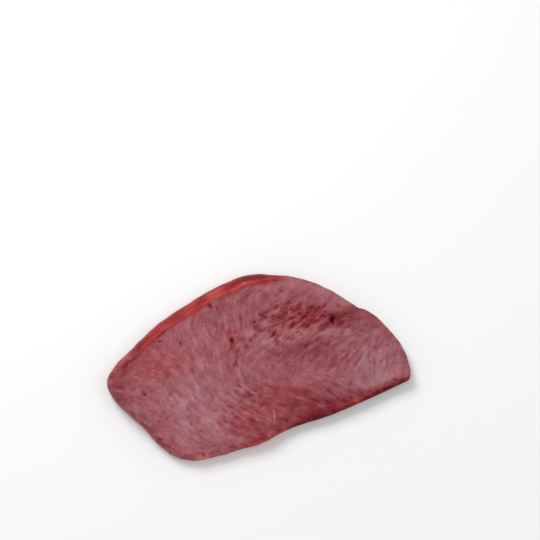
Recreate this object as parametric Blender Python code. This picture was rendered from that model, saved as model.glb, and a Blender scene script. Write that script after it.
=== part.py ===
"""A slice of raw beef heart lying on its flat underside, as one closed solid.

+X runs along the straight cut edge to its sharp corner, +Y points to the heart's
natural outer rim and +Z is up. The origin lies on the resting face, below the middle
of the slice. Sizes are in millimetres until the mesh is made, which is in metres.
"""

import math

import bmesh
import bpy
import numpy as np
from mathutils import Vector
from mathutils.geometry import delaunay_2d_cdt

NAME = "beef_heart_slice"
MM = 0.001
SEED = 11

# Outline seen from above, anticlockwise from the sharp corner: x, y, and the width of
# the flank between the edge of the upper face and the outline. The heart's natural
# outer rim, from the left tip over the top, slopes; the knife's cuts are steep.
OUTLINE = (
    (69.0, -42.6, 1.3), (71.0, -40.3, 1.5), (72.2, -36.6, 1.6), (73.2, -28.5, 1.8),
    (71.8, -18.5, 1.5), (68.3, -6.6, 1.3), (64.1, -0.4, 1.2), (61.1, 2.1, 1.4),
    (58.8, 5.4, 1.2), (52.1, 15.8, 1.2), (44.1, 24.0, 1.3), (36.0, 31.5, 2.8), (27.4, 38.0, 6.0),
    (17.9, 42.0, 8.0), (7.4, 43.2, 9.0), (-4.1, 42.4, 9.2), (-16.0, 40.4, 8.9),
    (-27.9, 38.2, 8.5), (-40.5, 34.2, 7.8), (-53.6, 28.7, 7.0), (-64.4, 23.3, 5.6),
    (-70.2, 17.6, 3.0), (-71.8, 11.0, 1.8), (-69.4, 2.6, 1.8), (-63.6, -10.1, 1.8),
    (-59.6, -21.6, 1.9), (-53.8, -31.6, 2.2), (-45.3, -38.0, 2.4), (-32.2, -40.4, 2.4),
    (-22.9, -41.5, 2.0), (-12.6, -43.1, 1.6), (-2.0, -41.9, 1.2), (9.4, -41.9, 1.0),
    (25.0, -43.4, 0.9), (47.0, -43.4, 0.9), (69.0, -42.6, 1.3),
)
OUTLINE_WAVES = ((29.0, 0.14), (13.0, 0.07), (7.5, 0.05))
WAVE_FADE = 15.0
STRAIGHT_EDGE = 80.0

# Thickness, and how the slice thins towards three of its edges: from where, to where and
# by how much. Towards the lower left the way leans, and the straight edge falls most
# along its middle, between its two ends.
THICKNESS = 10.4
RIGHT_END_THINS = (38.0, 74.0, 3.2)
LOWER_LEFT_THINS = (22.0, 52.0, 2.2)
LOWER_LEFT_LEAN = 0.35
STRAIGHT_EDGE_FALLS = (-29.0, -42.0, 2.6)
STRAIGHT_EDGE_ENDS = ((-12.0, 8.0), (66.0, 52.0))
EDGE_ROUNDING = 0.9
EDGE_ROUNDING_REACH = 2.0

# Section of the flank as a curve with three guides below its top: how far out each lies,
# in widths of the flank and in more millimetres, and its share of the height. One section
# is a knife's steep cut and one the sloping rim, with the widths that they belong to.
STEEP_SECTION = ((0.75, 0.0, 0.96), (1.18, 0.25, 0.4), (1.0, -0.35, 0.0))
SLOPING_SECTION = ((0.45, 0.0, 0.91), (1.08, 0.25, 0.38), (1.0, -0.85, 0.0))
SLOPING_WIDTHS = (2.0, 6.0)

# Swells and hollows of the upper face: x, y, reach along and across, turn, height
SWELLS = (
    (-42.0, 6.0, 24.0, 20.0, 0, 0.5),
    (-14.0, -16.0, 26.0, 12.0, 15, 0.4),
    (51.0, -27.0, 17.0, 11.0, -8, 0.8),
    (8.0, -26.0, 16.0, 9.0, -10, -0.5),
    (-6.0, 28.0, 20.0, 6.0, 0, 0.3),
)
PITTED_ZONE = (21.0, 9.5, 26.0, 8.0, -9)
PITTED_ZONE_DEPTH = 0.9

# Folds of the upper face: the line that each follows, its half width and its height
LIP = ((32.0, 27.5), (41.0, 21.0), (49.0, 11.5), (55.5, 2.8))
RIDGE = ((22.0, 3.0), (28.0, 1.0), (35.0, -3.5), (42.0, -7.5), (50.0, -9.5))
VALLEY = ((7.0, -5.4), (16.0, -7.6), (28.5, -10.8), (36.0, -12.5))
CREASE = ((45.7, 0.2), (51.0, -0.9), (55.5, -0.8), (59.0, -0.1))
FOLDS = ((LIP, 4.2, 1.0), (RIDGE, 3.2, 0.5), (VALLEY, 5.0, -0.8), (CREASE, 2.0, -0.8))

# Cut vessels, and pits torn between the muscle bundles: x, y, half length, half width,
# turn and depth
VESSELS = (
    (45.5, -0.6, 2.3, 0.8, 72, 1.6),
    (45.6, 0.7, 1.8, 1.1, 10, 0.6),
    (-5.3, 9.9, 1.4, 0.8, 50, 1.7),
    (-8.8, 31.2, 1.4, 0.9, 88, 1.3),
    (-39.5, 23.3, 1.3, 0.7, -40, 0.8),
    (-29.9, 18.4, 3.2, 0.6, -83, 0.7),
    (-55.9, 0.6, 1.9, 0.8, -50, 1.1),
    (-57.0, -22.7, 2.1, 0.8, -38, 0.9),
    (-62.9, -0.1, 1.2, 0.7, -44, 0.6),
    (-45.1, -11.1, 1.5, 0.6, 86, 0.5),
    (-40.5, -22.2, 1.0, 0.7, -74, 0.7),
    (-4.6, 3.6, 1.7, 0.7, 62, 0.7),
)
PITS = (
    (13.6, 15.7, 1.8, 0.8, -54, 0.9), (16.5, 16.1, 0.8, 0.7, 36, 0.5),
    (8.3, 14.2, 1.1, 0.9, -4, 0.6), (8.2, 11.1, 1.6, 0.7, 42, 0.5),
    (3.6, 5.5, 1.1, 0.8, 2, 0.9), (6.0, 6.8, 0.9, 0.7, 6, 0.4),
    (15.1, 4.1, 1.6, 0.8, 38, 0.9), (13.5, 7.4, 1.6, 0.7, 12, 0.5),
    (22.2, 17.2, 1.4, 0.8, 42, 0.6), (18.9, 12.9, 1.1, 0.7, -24, 0.4),
    (21.7, 11.1, 1.9, 0.8, -40, 0.9), (25.0, 12.0, 1.8, 0.7, 24, 0.8),
    (29.0, 17.1, 2.6, 0.9, 36, 0.6), (25.9, 14.8, 0.8, 0.7, -24, 0.5),
    (32.6, 18.4, 1.4, 0.8, -4, 0.4), (29.6, 12.7, 1.4, 0.8, -14, 0.9),
    (32.6, 13.3, 2.0, 0.7, 24, 0.5), (34.5, 14.2, 0.8, 0.7, -58, 0.7),
    (33.0, 11.6, 1.1, 0.7, 6, 0.6), (37.2, 10.2, 2.1, 1.0, 14, 0.6),
    (39.4, 10.2, 0.9, 0.9, -24, 0.4), (39.7, 7.3, 1.6, 0.9, 16, 1.0),
    (42.5, 7.7, 1.3, 0.7, -14, 0.6), (37.2, 6.7, 1.0, 0.7, 14, 0.6),
    (34.6, 5.9, 1.6, 0.7, 18, 0.9), (31.5, 9.0, 1.4, 0.7, -6, 0.7),
    (27.3, 8.6, 1.9, 0.8, 4, 0.9), (32.5, 6.8, 1.1, 0.7, 6, 0.5),
    (30.0, 5.5, 1.9, 0.7, 22, 0.8), (26.9, 5.9, 1.1, 0.9, 6, 0.8),
    (22.0, 6.4, 2.8, 0.7, 28, 0.7), (25.0, 4.4, 1.6, 0.7, 4, 0.6),
    (33.2, 1.9, 2.0, 1.0, 38, 0.8), (31.7, 0.6, 1.0, 0.7, -8, 0.6),
    (37.3, 2.5, 2.3, 0.9, -2, 0.8), (41.5, 3.6, 1.2, 0.9, 26, 0.8),
    (43.9, 4.8, 1.1, 0.7, 16, 0.7), (45.5, 7.9, 1.4, 0.7, 46, 0.7),
    (51.2, 5.2, 1.4, 0.7, 86, 0.6), (26.9, 0.1, 1.4, 0.8, 12, 0.7),
    (18.9, 0.8, 1.1, 0.7, 32, 0.5), (20.8, -0.7, 0.9, 0.7, 26, 0.5),
    (22.3, -2.2, 1.5, 0.7, 46, 0.5), (15.6, -0.4, 1.2, 0.9, 16, 0.5),
    (34.0, -7.7, 1.3, 0.7, 36, 0.5), (38.8, -3.9, 2.0, 0.9, -14, 0.4),
    (11.7, 28.8, 1.8, 0.7, 26, 0.5),
)

# Gentle unevenness of the soft face: how many waves, from how short to how long, and
# their height together
UNEVEN_WAVES = 12
UNEVEN_LENGTHS = (9.0, 24.0)
UNEVEN_HEIGHT = 0.16

# Spacing of the mesh on the flank, round the pits and on the underside, how far the fine
# mesh reaches past a pit, down to which share of a hill's height it counts as there, and
# how many of its own steps a loose point keeps from the ring round it
RING_STEP = 2.2
FINE_STEP = 1.0
UNDERSIDE_STEP = 9.0
DETAIL_MARGIN = 1.6
HILL_EDGE = 0.3
RING_CLEARANCE = 0.45
FLANK_STEPS = (0.16, 0.34, 0.52, 0.7, 0.86, 1.0)
PARTS_A_RUN = 24

# Settings of the triangulation: only what the ring surrounds, and its tolerance
INSIDE_ONLY = 1
TOLERANCE = 1e-6

MUSCLE_COLOUR = (0.328, 0.105, 0.122, 1.0)
MUSCLE_ROUGHNESS = 0.5


def smooth_step(value):
    """Ease from 0 to 1 as the value goes from 0 to 1."""
    t = np.clip(value, 0.0, 1.0)
    return t * t * (3.0 - 2.0 * t)


def eased(value, start, end, rise=1.0):
    """Ease from 0 where the value is at the start to the rise where it is at the end."""
    return rise * smooth_step((value - start) / (end - start))


def own_axes(points, x, y, turn):
    """Places along and across a feature that lies at x, y and is turned by some degrees."""
    angle = math.radians(turn)
    offset = points - (x, y)
    along = offset @ (math.cos(angle), math.sin(angle))
    across = offset @ (-math.sin(angle), math.cos(angle))
    return along, across


def hill(points, x, y, reach_along, reach_across, turn):
    """A smooth hill of height 1."""
    along, across = own_axes(points, x, y, turn)
    return np.exp(-(along / reach_along) ** 2 - (across / reach_across) ** 2)


def distance_to_line(points, line):
    """Distance of each point to a line of straight runs."""
    nearest = np.full(len(points), np.inf)
    for start, end in zip(line, line[1:]):
        run = np.subtract(end, start)
        share = np.clip((points - start) @ run / (run @ run), 0.0, 1.0)
        offset = points - start - share[:, None] * run
        nearest = np.minimum(nearest, np.linalg.norm(offset, axis=1))
    return nearest


def is_inside(points, ring):
    """True for each point that a closed ring surrounds."""
    x, y = points.T
    crossings = np.zeros(len(points), dtype=int)
    for (x0, y0), (x1, y1) in zip(ring, np.roll(ring, -1, axis=0)):
        if y0 == y1:
            continue
        spans = (y0 > y) != (y1 > y)
        crossings += spans & (x < x0 + (y - y0) / (y1 - y0) * (x1 - x0))
    return crossings % 2 == 1


def curve_through(knots, step):
    """Even points along a smooth curve from the first knot to just before the last."""
    knots = np.array(knots)
    padded = np.vstack([2 * knots[0] - knots[1], knots, 2 * knots[-1] - knots[-2]])
    t = np.linspace(0.0, 1.0, PARTS_A_RUN, endpoint=False)[:, None]
    runs = []
    for before, start, end, after in zip(padded, padded[1:], padded[2:], padded[3:]):
        linear = (end - before) * t
        square = (2 * before - 5 * start + 4 * end - after) * t ** 2
        cube = (3 * start - before - 3 * end + after) * t ** 3
        runs.append(start + 0.5 * (linear + square + cube))
    dense = np.vstack([*runs, knots[-1]])
    lengths = np.linalg.norm(np.diff(dense[:, :2], axis=0), axis=1)
    reached = np.concatenate([[0.0], np.cumsum(lengths)])
    even = np.linspace(0.0, reached[-1], round(reached[-1] / step), endpoint=False)
    return np.column_stack([np.interp(even, reached, column) for column in dense.T])


def outline_rings():
    """The slice's outline, its inward directions and the width of its flank."""
    ring = curve_through(OUTLINE, RING_STEP)
    outline, flank = ring[:, :2], ring[:, 2]
    tangent = np.roll(outline, -1, axis=0) - np.roll(outline, 1, axis=0)
    tangent /= np.linalg.norm(tangent, axis=1)[:, None]
    inward = np.column_stack([-tangent[:, 1], tangent[:, 0]])
    reached = np.arange(len(outline)) * RING_STEP
    wave = sum(height * np.sin(2 * math.pi * reached / length) for length, height in OUTLINE_WAVES)
    wave *= eased(reached, 0.0, WAVE_FADE)
    wave *= eased(reached[-1] - reached, STRAIGHT_EDGE - WAVE_FADE, STRAIGHT_EDGE)
    outline = outline + inward * wave[:, None]
    return outline, inward, flank


def unevenness(points, rng):
    """Soft waves in many directions."""
    total = np.zeros(len(points))
    for _ in range(UNEVEN_WAVES):
        heading, phase = rng.uniform(0.0, 2 * math.pi, 2)
        length = rng.uniform(*UNEVEN_LENGTHS)
        across = points @ (math.cos(heading), math.sin(heading))
        total += np.sin(2 * math.pi * across / length + phase)
    return UNEVEN_HEIGHT * total / math.sqrt(UNEVEN_WAVES / 2)


def face_height(points, crown):
    """Height of the upper face above the resting plane."""
    rng = np.random.default_rng(SEED)
    x, y = points.T
    height = THICKNESS - eased(x, *RIGHT_END_THINS)
    height -= eased(-y - LOWER_LEFT_LEAN * x, *LOWER_LEFT_THINS)
    along_edge = np.prod([eased(x, *end) for end in STRAIGHT_EDGE_ENDS], axis=0)
    height -= along_edge * eased(y, *STRAIGHT_EDGE_FALLS)
    for *place, rise in SWELLS:
        height += rise * hill(points, *place)
    height -= PITTED_ZONE_DEPTH * hill(points, *PITTED_ZONE)
    for line, half_width, rise in FOLDS:
        height += rise * np.exp(-(distance_to_line(points, line) / half_width) ** 2)
    for *place, depth in (*VESSELS, *PITS):
        height -= depth * hill(points, *place)
    height += unevenness(points, rng)
    to_edge = distance_to_line(points, np.vstack([crown, crown[:1]]))
    height -= EDGE_ROUNDING * np.exp(-(to_edge / EDGE_ROUNDING_REACH) ** 2)
    return height


def triangular_lattice(ring, step):
    """Evenly spread points inside a ring, and which of them form the lattice of twice the step."""
    low, high = ring.min(axis=0), ring.max(axis=0)
    row_gap = step * math.sqrt(3.0) / 2.0
    rows = int((high[1] - low[1]) / row_gap) + 1
    columns = int((high[0] - low[0]) / step) + 2
    row, column = np.mgrid[0:rows, 0:columns].reshape(2, -1)
    points = np.column_stack([low[0] + (column + 0.5 * (row % 2)) * step, low[1] + row * row_gap])
    coarse = (row % 2 == 0) & ((column - row // 2) % 2 == 0)
    return points, coarse


def needs_detail(points):
    """True where the face has pits, vessels or the crease."""
    detailed = hill(points, *PITTED_ZONE) > HILL_EDGE
    detailed |= distance_to_line(points, CREASE) < 2 * DETAIL_MARGIN
    for x, y, half_length, half_width, turn, _ in (*VESSELS, *PITS):
        reach = (half_length + DETAIL_MARGIN, half_width + DETAIL_MARGIN)
        detailed |= hill(points, x, y, *reach, turn) > HILL_EDGE
    return detailed


def fill_ring(ring, inner):
    """Triangles between a closed ring of points and the loose points inside it."""
    places = [Vector(place) for place in np.vstack([ring, inner])]
    found = delaunay_2d_cdt(places, [], [list(range(len(ring)))], INSIDE_ONLY, TOLERANCE)
    return [list(face) for face in found[2]]


def inner_points(ring, step, only_coarse):
    """Lattice points that keep clear of the ring round them."""
    points, coarse = triangular_lattice(ring, step)
    own_step = np.where(coarse, 2 * step, step)
    closed = np.vstack([ring, ring[:1]])
    clearance = RING_CLEARANCE * own_step
    keep = is_inside(points, ring) & (distance_to_line(points, closed) > clearance)
    keep &= coarse | (False if only_coarse else needs_detail(points))
    return points[keep]


def flank_ring(crown, inward, flank, height, t):
    """The ring of points a share t of the way down the flank, from the face to the foot."""
    slope = eased(flank, *SLOPING_WIDTHS)
    weights = (3 * t * (1 - t) ** 2, 3 * t ** 2 * (1 - t), t ** 3)
    out, up = np.zeros(len(crown)), (1 - t) ** 3 * height
    for weight, steep, sloping in zip(weights, STEEP_SECTION, SLOPING_SECTION):
        widths, more, share = (a + (b - a) * slope for a, b in zip(steep, sloping))
        out += weight * (widths * flank + more)
        up += weight * share * height
    return np.column_stack([crown - inward * out[:, None], up])


def slice_mesh():
    """The slice as one closed mesh: upper face, flank and flat underside."""
    outline, inward, flank = outline_rings()
    crown = outline + inward * flank[:, None]
    count = len(crown)

    face = inner_points(crown, FINE_STEP, False)
    face_plan = np.vstack([crown, face])
    height = face_height(face_plan, crown)
    crown_height = height[:count]
    levels = [flank_ring(crown, inward, flank, crown_height, t) for t in FLANK_STEPS]
    foot = levels[-1][:, :2]
    under = inner_points(foot, UNDERSIDE_STEP / 2.0, True)

    places = np.vstack([
        np.column_stack([face_plan, height]),
        *levels,
        np.column_stack([under, np.zeros(len(under))]),
    ])
    faces = fill_ring(crown, face)
    upper = np.arange(count)
    for level in range(len(levels)):
        lower = len(face_plan) + level * count + np.arange(count)
        faces += [list(quad) for quad in zip(upper, lower, np.roll(lower, -1), np.roll(upper, -1))]
        upper = lower
    foot_start = int(upper[0])
    faces += [[foot_start + corner for corner in face[::-1]] for face in fill_ring(foot, under)]

    middle = (places.min(axis=0) + places.max(axis=0)) / 2.0
    middle[2] = 0.0
    body = bmesh.new()
    corners = [body.verts.new((place - middle) * MM) for place in places]
    for face_corners in faces:
        body.faces.new([corners[corner] for corner in face_corners])
    bmesh.ops.triangulate(body, faces=[face for face in body.faces if len(face.verts) > 3])
    bmesh.ops.recalc_face_normals(body, faces=body.faces)
    mesh = bpy.data.meshes.new(NAME)
    body.to_mesh(mesh)
    body.free()
    return mesh


def muscle_material():
    """Raw heart muscle: dull mauve red, moist."""
    material = bpy.data.materials.new("heart_muscle")
    material.use_nodes = True
    shader = material.node_tree.nodes["Principled BSDF"]
    shader.inputs["Base Color"].default_value = MUSCLE_COLOUR
    shader.inputs["Roughness"].default_value = MUSCLE_ROUGHNESS
    shader.inputs["Metallic"].default_value = 0.0
    material.diffuse_color = MUSCLE_COLOUR
    return material


def main():
    for thing in list(bpy.data.objects):
        bpy.data.objects.remove(thing, do_unlink=True)
    collection = bpy.data.collections.new(NAME)
    bpy.context.scene.collection.children.link(collection)
    mesh = slice_mesh()
    mesh.materials.append(muscle_material())
    mesh.shade_smooth()
    collection.objects.link(bpy.data.objects.new(NAME, mesh))


main()
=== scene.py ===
"""Looks of a raw slice of beef heart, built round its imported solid.

The solid's form is rebuilt from the same sizes, in millimetres, on a finer mesh with the
strands of muscle, the pits, the cut vessels and the membrane of the natural rim.
"""

import math

import bmesh
import bpy
import numpy as np
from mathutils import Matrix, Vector
from mathutils.geometry import delaunay_2d_cdt
from mathutils.kdtree import KDTree


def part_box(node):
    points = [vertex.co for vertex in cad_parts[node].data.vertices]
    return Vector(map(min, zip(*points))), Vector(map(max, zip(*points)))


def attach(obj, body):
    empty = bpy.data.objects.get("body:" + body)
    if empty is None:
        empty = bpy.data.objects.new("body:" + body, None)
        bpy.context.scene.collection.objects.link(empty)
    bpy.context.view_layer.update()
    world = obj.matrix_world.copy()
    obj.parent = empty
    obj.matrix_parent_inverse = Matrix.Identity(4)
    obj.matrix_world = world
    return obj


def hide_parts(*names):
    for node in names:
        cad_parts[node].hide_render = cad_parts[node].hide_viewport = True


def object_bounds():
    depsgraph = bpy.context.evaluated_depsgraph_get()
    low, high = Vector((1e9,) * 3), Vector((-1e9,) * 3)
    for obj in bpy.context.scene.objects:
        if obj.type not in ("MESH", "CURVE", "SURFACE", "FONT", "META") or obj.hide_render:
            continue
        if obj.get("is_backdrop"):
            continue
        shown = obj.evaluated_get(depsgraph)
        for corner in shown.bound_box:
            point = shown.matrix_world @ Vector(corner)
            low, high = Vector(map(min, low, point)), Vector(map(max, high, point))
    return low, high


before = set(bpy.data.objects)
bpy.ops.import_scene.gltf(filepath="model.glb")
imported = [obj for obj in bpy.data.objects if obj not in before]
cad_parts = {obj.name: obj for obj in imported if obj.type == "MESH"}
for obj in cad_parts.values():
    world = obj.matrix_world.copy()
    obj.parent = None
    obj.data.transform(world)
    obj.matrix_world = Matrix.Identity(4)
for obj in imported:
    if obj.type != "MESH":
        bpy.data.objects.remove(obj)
CAD_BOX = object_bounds()

NODE = "beef_heart_slice"
MM = 0.001
SEED = 11

# Form of the slice, as in its solid: x, y and flank width round the outline. Swells, vessels,
# pits, patches and zones have x, y, two reaches, a turn if it isn't 0, and their strength
OUTLINE = (
    (69, -42.6, 1.3), (71, -40.3, 1.5), (72.2, -36.6, 1.6), (73.2, -28.5, 1.8), (71.8, -18.5, 1.5),
    (68.3, -6.6, 1.3), (64.1, -0.4, 1.2), (61.1, 2.1, 1.4), (58.8, 5.4, 1.2), (52.1, 15.8, 1.2),
    (44.1, 24, 1.3), (36, 31.5, 2.8), (27.4, 38, 6), (17.9, 42, 8), (7.4, 43.2, 9), (-4.1, 42.4, 9.2),
    (-16, 40.4, 8.9), (-27.9, 38.2, 8.5), (-40.5, 34.2, 7.8), (-53.6, 28.7, 7), (-64.4, 23.3, 5.6),
    (-70.2, 17.6, 3), (-71.8, 11, 1.8), (-69.4, 2.6, 1.8), (-63.6, -10.1, 1.8), (-59.6, -21.6, 1.9),
    (-53.8, -31.6, 2.2), (-45.3, -38, 2.4), (-32.2, -40.4, 2.4), (-22.9, -41.5, 2), (-12.6, -43.1, 1.6),
    (-2, -41.9, 1.2), (9.4, -41.9, 1), (25, -43.4, 0.9), (47, -43.4, 0.9), (69, -42.6, 1.3),
)
OUTLINE_WAVES = ((29.0, 0.14), (13.0, 0.07), (7.5, 0.05))
WAVE_FADE = 15.0
STRAIGHT_EDGE = 80.0
THICKNESS = 10.4
RIGHT_THINS = (38.0, 74.0, 3.2)
LEFT_THINS = (22.0, 52.0, 2.2)
LEFT_LEAN = 0.35
EDGE_FALLS = (-29.0, -42.0, 2.6)
EDGE_ENDS = ((-12.0, 8.0), (66.0, 52.0))
ROUNDING = 0.9
ROUNDING_REACH = 2.0
STEEP = ((0.75, 0.0, 0.96), (1.18, 0.25, 0.4), (1.0, -0.35, 0.0))
SLOPING = ((0.45, 0.0, 0.91), (1.08, 0.25, 0.38), (1.0, -0.85, 0.0))
SLOPING_WIDTHS = (2.0, 6.0)
SWELLS = (
    (-42, 6, 24, 20, 0.5), (-14, -16, 26, 12, 15, 0.4), (51, -27, 17, 11, -8, 0.8),
    (8, -26, 16, 9, -10, -0.5), (-6, 28, 20, 6, 0.3),
)
PITTED_ZONE = (21.0, 9.5, 26.0, 8.0, -9)
PITTED_DEPTH = 0.9
LIP = ((32.0, 27.5), (41.0, 21.0), (49.0, 11.5), (55.5, 2.8))
RIDGE = ((22.0, 3.0), (28.0, 1.0), (35.0, -3.5), (42.0, -7.5), (50.0, -9.5))
VALLEY = ((7.0, -5.4), (16.0, -7.6), (28.5, -10.8), (36.0, -12.5))
CREASE = ((45.7, 0.2), (51.0, -0.9), (55.5, -0.8), (59.0, -0.1))
FOLDS = ((LIP, 4.2, 1.0), (RIDGE, 3.2, 0.5), (VALLEY, 5.0, -0.8), (CREASE, 2.0, -0.8))
VESSELS = (
    (45.5, -0.6, 2.3, 0.8, 72, 1.6), (45.6, 0.7, 1.8, 1.1, 10, 0.6), (-5.3, 9.9, 1.4, 0.8, 50, 1.7),
    (-8.8, 31.2, 1.4, 0.9, 88, 1.3), (-39.5, 23.3, 1.3, 0.7, -40, 0.8),
    (-29.9, 18.4, 3.2, 0.6, -83, 0.7), (-55.9, 0.6, 1.9, 0.8, -50, 1.1),
    (-57, -22.7, 2.1, 0.8, -38, 0.9), (-62.9, -0.1, 1.2, 0.7, -44, 0.6),
    (-45.1, -11.1, 1.5, 0.6, 86, 0.5), (-40.5, -22.2, 1, 0.7, -74, 0.7), (-4.6, 3.6, 1.7, 0.7, 62, 0.7),
)
PITS = (
    (13.6, 15.7, 1.8, 0.8, -54, 0.9), (16.5, 16.1, 0.8, 0.7, 36, 0.5), (8.3, 14.2, 1.1, 0.9, -4, 0.6),
    (8.2, 11.1, 1.6, 0.7, 42, 0.5), (3.6, 5.5, 1.1, 0.8, 2, 0.9), (6, 6.8, 0.9, 0.7, 6, 0.4),
    (15.1, 4.1, 1.6, 0.8, 38, 0.9), (13.5, 7.4, 1.6, 0.7, 12, 0.5), (22.2, 17.2, 1.4, 0.8, 42, 0.6),
    (18.9, 12.9, 1.1, 0.7, -24, 0.4), (21.7, 11.1, 1.9, 0.8, -40, 0.9), (25, 12, 1.8, 0.7, 24, 0.8),
    (29, 17.1, 2.6, 0.9, 36, 0.6), (25.9, 14.8, 0.8, 0.7, -24, 0.5), (32.6, 18.4, 1.4, 0.8, -4, 0.4),
    (29.6, 12.7, 1.4, 0.8, -14, 0.9), (32.6, 13.3, 2, 0.7, 24, 0.5), (34.5, 14.2, 0.8, 0.7, -58, 0.7),
    (33, 11.6, 1.1, 0.7, 6, 0.6), (37.2, 10.2, 2.1, 1, 14, 0.6), (39.4, 10.2, 0.9, 0.9, -24, 0.4),
    (39.7, 7.3, 1.6, 0.9, 16, 1), (42.5, 7.7, 1.3, 0.7, -14, 0.6), (37.2, 6.7, 1, 0.7, 14, 0.6),
    (34.6, 5.9, 1.6, 0.7, 18, 0.9), (31.5, 9, 1.4, 0.7, -6, 0.7), (27.3, 8.6, 1.9, 0.8, 4, 0.9),
    (32.5, 6.8, 1.1, 0.7, 6, 0.5), (30, 5.5, 1.9, 0.7, 22, 0.8), (26.9, 5.9, 1.1, 0.9, 6, 0.8),
    (22, 6.4, 2.8, 0.7, 28, 0.7), (25, 4.4, 1.6, 0.7, 4, 0.6), (33.2, 1.9, 2, 1, 38, 0.8),
    (31.7, 0.6, 1, 0.7, -8, 0.6), (37.3, 2.5, 2.3, 0.9, -2, 0.8), (41.5, 3.6, 1.2, 0.9, 26, 0.8),
    (43.9, 4.8, 1.1, 0.7, 16, 0.7), (45.5, 7.9, 1.4, 0.7, 46, 0.7), (51.2, 5.2, 1.4, 0.7, 86, 0.6),
    (26.9, 0.1, 1.4, 0.8, 12, 0.7), (18.9, 0.8, 1.1, 0.7, 32, 0.5), (20.8, -0.7, 0.9, 0.7, 26, 0.5),
    (22.3, -2.2, 1.5, 0.7, 46, 0.5), (15.6, -0.4, 1.2, 0.9, 16, 0.5), (34, -7.7, 1.3, 0.7, 36, 0.5),
    (38.8, -3.9, 2, 0.9, -14, 0.4), (11.7, 28.8, 1.8, 0.7, 26, 0.5),
)
UNEVEN_WAVES = 12
UNEVEN_LENGTHS = (9.0, 24.0)
UNEVEN_HEIGHT = 0.16

# Fineness of the mesh, and the way over which the outline's direction is taken
RING_STEP = 0.5
TANGENT_REACH = 2.0
FACE_STEP = 0.41
UNDER_STEP = 0.85
RING_CLEARANCE = 0.65
FLANK_RINGS = 22
PARTS_A_RUN = 24
INSIDE_ONLY = 1
TOLERANCE = 1e-6

# Run of the muscle strands over the face: x, y and heading in degrees, read one by one
FIBRE_GUIDES = (
    (-64, 4, -44), (-61, 11, -20), (-50, 6, -36), (-47, 14, -48), (-55, -4, -54), (-47, -10, -74),
    (-51, -19, -74), (-41, -22, -80), (-37, -12, -72), (-40, 4, 84), (-36, 17, -76), (-28, -19, -75),
    (-26, -10, -88), (-32, -27, -66), (-39, -35, -50), (-23, 20, -88), (-13, 17, -86), (-17, 7, 78),
    (-20, 29, 50), (-12, -3, 84), (-13, -10, -88), (-7, 5, 64), (-2, 22, 82), (7, 16, 84),
    (1, 30, 34), (10, 24, 58), (15, 32, 8), (24, 27, 5), (33, 22, 11), (42, 16, 14), (16, 12, -18),
    (20, 18, 20), (13, 5, 28), (4, 8, 44), (29, 14, 10), (26, 6, 10), (36, 5, 10), (38, 12, 4),
    (1, 0, 28), (11, -3, 20), (22, 0, 18), (32, -3, 15), (-2, -6, 42), (8, -10, 14), (19, -7, 9),
    (28, -11, 16), (38, -15, 9), (45, -6, 0), (54, -4, -5), (50, -11, 14), (60, -15, 24),
    (47, -19, 22), (57, -22, 18), (35, -22, 28), (44, -26, 34), (53, -30, 72), (62, -34, 48),
    (67, -26, 50), (31, -29, -60), (40, -34, -34), (22, -25, -30), (19, -32, -44), (28, -36, -50),
    (10, -28, -50), (0, -24, -38), (7, -35, -26), (-3, -31, -44), (-5, -13, -70), (-8, -20, -55),
    (-17, -16, -62), (-20, -23, -54), (-11, -27, -46), (-24, -31, -42), (-14, -35, -37),
    (-15, -40, -26),
)
GUIDE_SOFTNESS = 20.0

# Grid of places for the random fields, and how far within its last row they are read
PITCH = 0.25
PLAN_REACH = (77.0, 48.0)
COMB_STEP = 1.4 * PITCH
WITHIN = 1.001

# Strands in two coarsenesses, and long cords in some zones: thickness and reach along the
# fibres, relief and tone, and the way in from the edge on which the relief sets in
STRAND = (1.05, 1.8)
BUNDLE = (2.2, 2.8)
CORD = (1.1, 6.0)
CORD_CREST = (0.6, 1.6)
CORD_TROUGH = 0.8
STRAND_RELIEF = 0.055
BUNDLE_RELIEF = 0.055
CORD_RELIEF = 0.1
FACE_RELIEF = (-0.3, 0.9)
STRAND_TONE = 0.08
BUNDLE_TONE = 0.012
CORD_TONE = 0.1
CORD_ZONES = (
    (-10, -27, 13, 11, -45, 1), (20, -31, 18, 8, -20, 0.6), (-59, 3, 8, 8, 0.3),
)

# Zones where the strands lie less in one direction
TOUSLED_ZONES = (
    (-42, 7, 18, 11, -15, 0.9), (-34, 24, 8, 5, -20, 0.7), (-12, 26, 9, 5, 0.6), (16, 22, 10, 6, 0.7),
    (9, -18, 14, 7, -10, 0.9), (3, -12, 12, 10, 0.9), (9, -28, 10, 5, 0.6), (40, -33, 6, 4, 0.6),
)
TOUSLED_LEAST = 0.25
TOUSLED_GRAIN = 1.5
TOUSLED_NOISE = 0.8

# Soft unevenness: grain, and strength in the tone, the patches and the red
MOTTLE = 2.3
BLOTCH = 4.0
WIDE_BLOTCH = 10.0
MOTTLE_TONE = 0.025
BLOTCH_TONE = 0.015
PATCH_BLOTCH = 0.15
PATCH_BUNDLE = 0.08
BLOTCH_RED = 0.04
FAT_STRAND = 0.4

# Zones where the strands stand out more, and the lip, where they do less
LIVELY_ZONES = (
    (*PITTED_ZONE, 0.6), (24, -8, 22, 9, -8, 0.5), (13, 2, 18, 8, -5, 0.6),
    (-16, -28, 16, 12, -35, 0.4), (24, -34, 16, 6, -5, 0.4),
)
LIP_CALM = (5.0, 0.6)
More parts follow.
